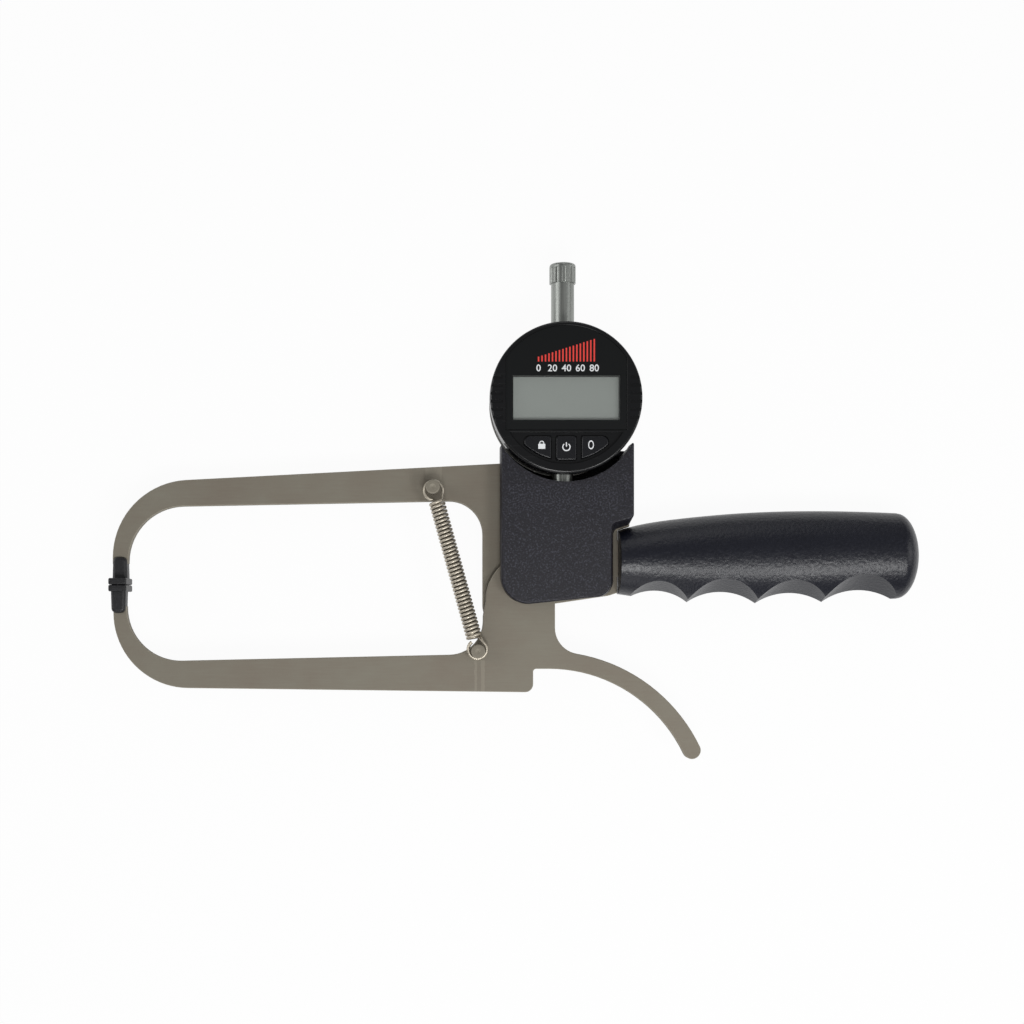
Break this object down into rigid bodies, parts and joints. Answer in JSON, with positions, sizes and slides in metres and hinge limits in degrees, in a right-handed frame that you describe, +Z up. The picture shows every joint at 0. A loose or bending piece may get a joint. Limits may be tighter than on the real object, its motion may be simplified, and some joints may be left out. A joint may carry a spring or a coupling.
{
  "type": "skinfold caliper",
  "caption": "Hand-held skinfold caliper with sprung jaws, a finger trigger, a grooved handle and a round digital indicator with push buttons, lying on its back",
  "frame": {"origin": "bottom centre of the bounding box, on the surface that the caliper lies on", "axes": "X along the tool, jaws at -X and handle at +X; Y across it, the indicator's sleeve cap at +Y; Z up, the display faces +Z"},
  "size_m": [0.3096, 0.1892, 0.031],
  "materials": {
    "satin_plate": "satin stainless sheet",
    "turned_steel": "turned and ground",
    "fastener_steel": "plated screws",
    "spring_wire": "bright drawn wire",
    "bronze": "plain bearing",
    "housing_plastic": "fine grained moulding",
    "grip_plastic": "grained moulding",
    "pad_plastic": "matte moulding",
    "bezel_plastic": "smooth moulding",
    "face_film": "printed film",
    "key_plastic": "moulded keys",
    "window_plastic": "clear lens",
    "lcd_glass": "reflective display",
    "elastomer": "soft rubber",
    "board_laminate": "coated laminate",
    "cell_steel": "nickel plated",
    "cover_steel": "stamped stainless sheet"
  },
  "bodies": {
    "frame": {"upper_frame_plate": "satin_plate", "upper_jaw_pad": "pad_plastic", "pivot_bolt": "fastener_steel", "pivot_nut": "fastener_steel", "pivot_shim": "bronze", "pivot_front_washer": "fastener_steel", "pivot_back_washer": "fastener_steel", "upper_spring_pin": "satin_plate", "housing_front": "housing_plastic", "housing_back": "housing_plastic", "housing_screws": "fastener_steel", "handle_grip": "grip_plastic", "handle_screws": "fastener_steel", "indicator_stem": "turned_steel", "stem_clamp": "turned_steel", "stem_clamp_screws": "fastener_steel", "indicator_case": "bezel_plastic", "indicator_back_cover": "cover_steel", "back_cover_screws": "fastener_steel", "battery_cover": "bezel_plastic", "coin_cell": "cell_steel", "indicator_bezel": "bezel_plastic", "face_panel": "face_film", "display_window": "window_plastic", "lcd_panel": "lcd_glass", "display_contact_strips": "elastomer", "circuit_board": "board_laminate", "key_membrane": "elastomer", "guide_rod": "turned_steel", "spindle_spring": "spring_wire", "spindle_sleeve": "turned_steel", "sleeve_cap": "turned_steel"},
    "lower_lever": {"lower_lever_plate": "satin_plate", "pivot_bush": "bronze", "lower_jaw_pad": "pad_plastic", "lower_spring_pin": "satin_plate"},
    "spindle_unit": {"spindle": "turned_steel", "contact_point": "turned_steel", "scale_carrier": "key_plastic", "encoder_scale": "board_laminate"},
    "spring_coil": {"closing_spring": "spring_wire"},
    "spring_end": {"spring_lower_hook": "spring_wire"},
    "hold_button": {"hold_key": "key_plastic"},
    "power_button": {"power_key": "key_plastic"},
    "zero_button": {"zero_key": "key_plastic"}
  },
  "joints": [
    {"name": "jaw_hinge", "type": "hinge", "parent": "frame", "child": "lower_lever", "pos_m": [0.00498, -0.02489, 0.0163], "axis": [0, 0, 1], "range_deg": [0, 30], "stiffness_Nm_per_rad": 0.44, "springref_deg": -177.62},
    {"name": "spindle_slide", "type": "slide", "parent": "frame", "child": "spindle_unit", "axis": [0, 1, 0], "range_m": [0, 0.00697], "deforming": ["spindle_spring"]},
    {"name": "spring_swing", "type": "hinge", "parent": "frame", "child": "spring_coil", "pos_m": [-0.03152, 0.00896, 0.0215], "axis": [0, 0, 1], "range_deg": [0, 11.11], "deforming": ["closing_spring"]},
    {"name": "spring_stretch", "type": "slide", "parent": "spring_coil", "child": "spring_end", "axis": [0.2659, -0.964, 0], "range_m": [0, 0.01153]},
    {"name": "hold_press", "type": "slide", "parent": "frame", "child": "hold_button", "axis": [0, 0, -1], "range_m": [0, 0.0005], "stiffness_N_per_m": 1000, "springref_m": -0.0005},
    {"name": "power_press", "type": "slide", "parent": "frame", "child": "power_button", "axis": [0, 0, -1], "range_m": [0, 0.0005], "stiffness_N_per_m": 1000, "springref_m": -0.0005},
    {"name": "zero_press", "type": "slide", "parent": "frame", "child": "zero_button", "axis": [0, 0, -1], "range_m": [0, 0.0005], "stiffness_N_per_m": 1000, "springref_m": -0.0005}
  ],
  "couplings": [
    {"joint": "spindle_slide", "follows": "jaw_hinge", "m_per_rad": 0.0133},
    {"joint": "spring_swing", "follows": "jaw_hinge", "ratio": 0.37019},
    {"joint": "spring_stretch", "follows": "jaw_hinge", "m_per_rad": 0.022013}
  ]
}
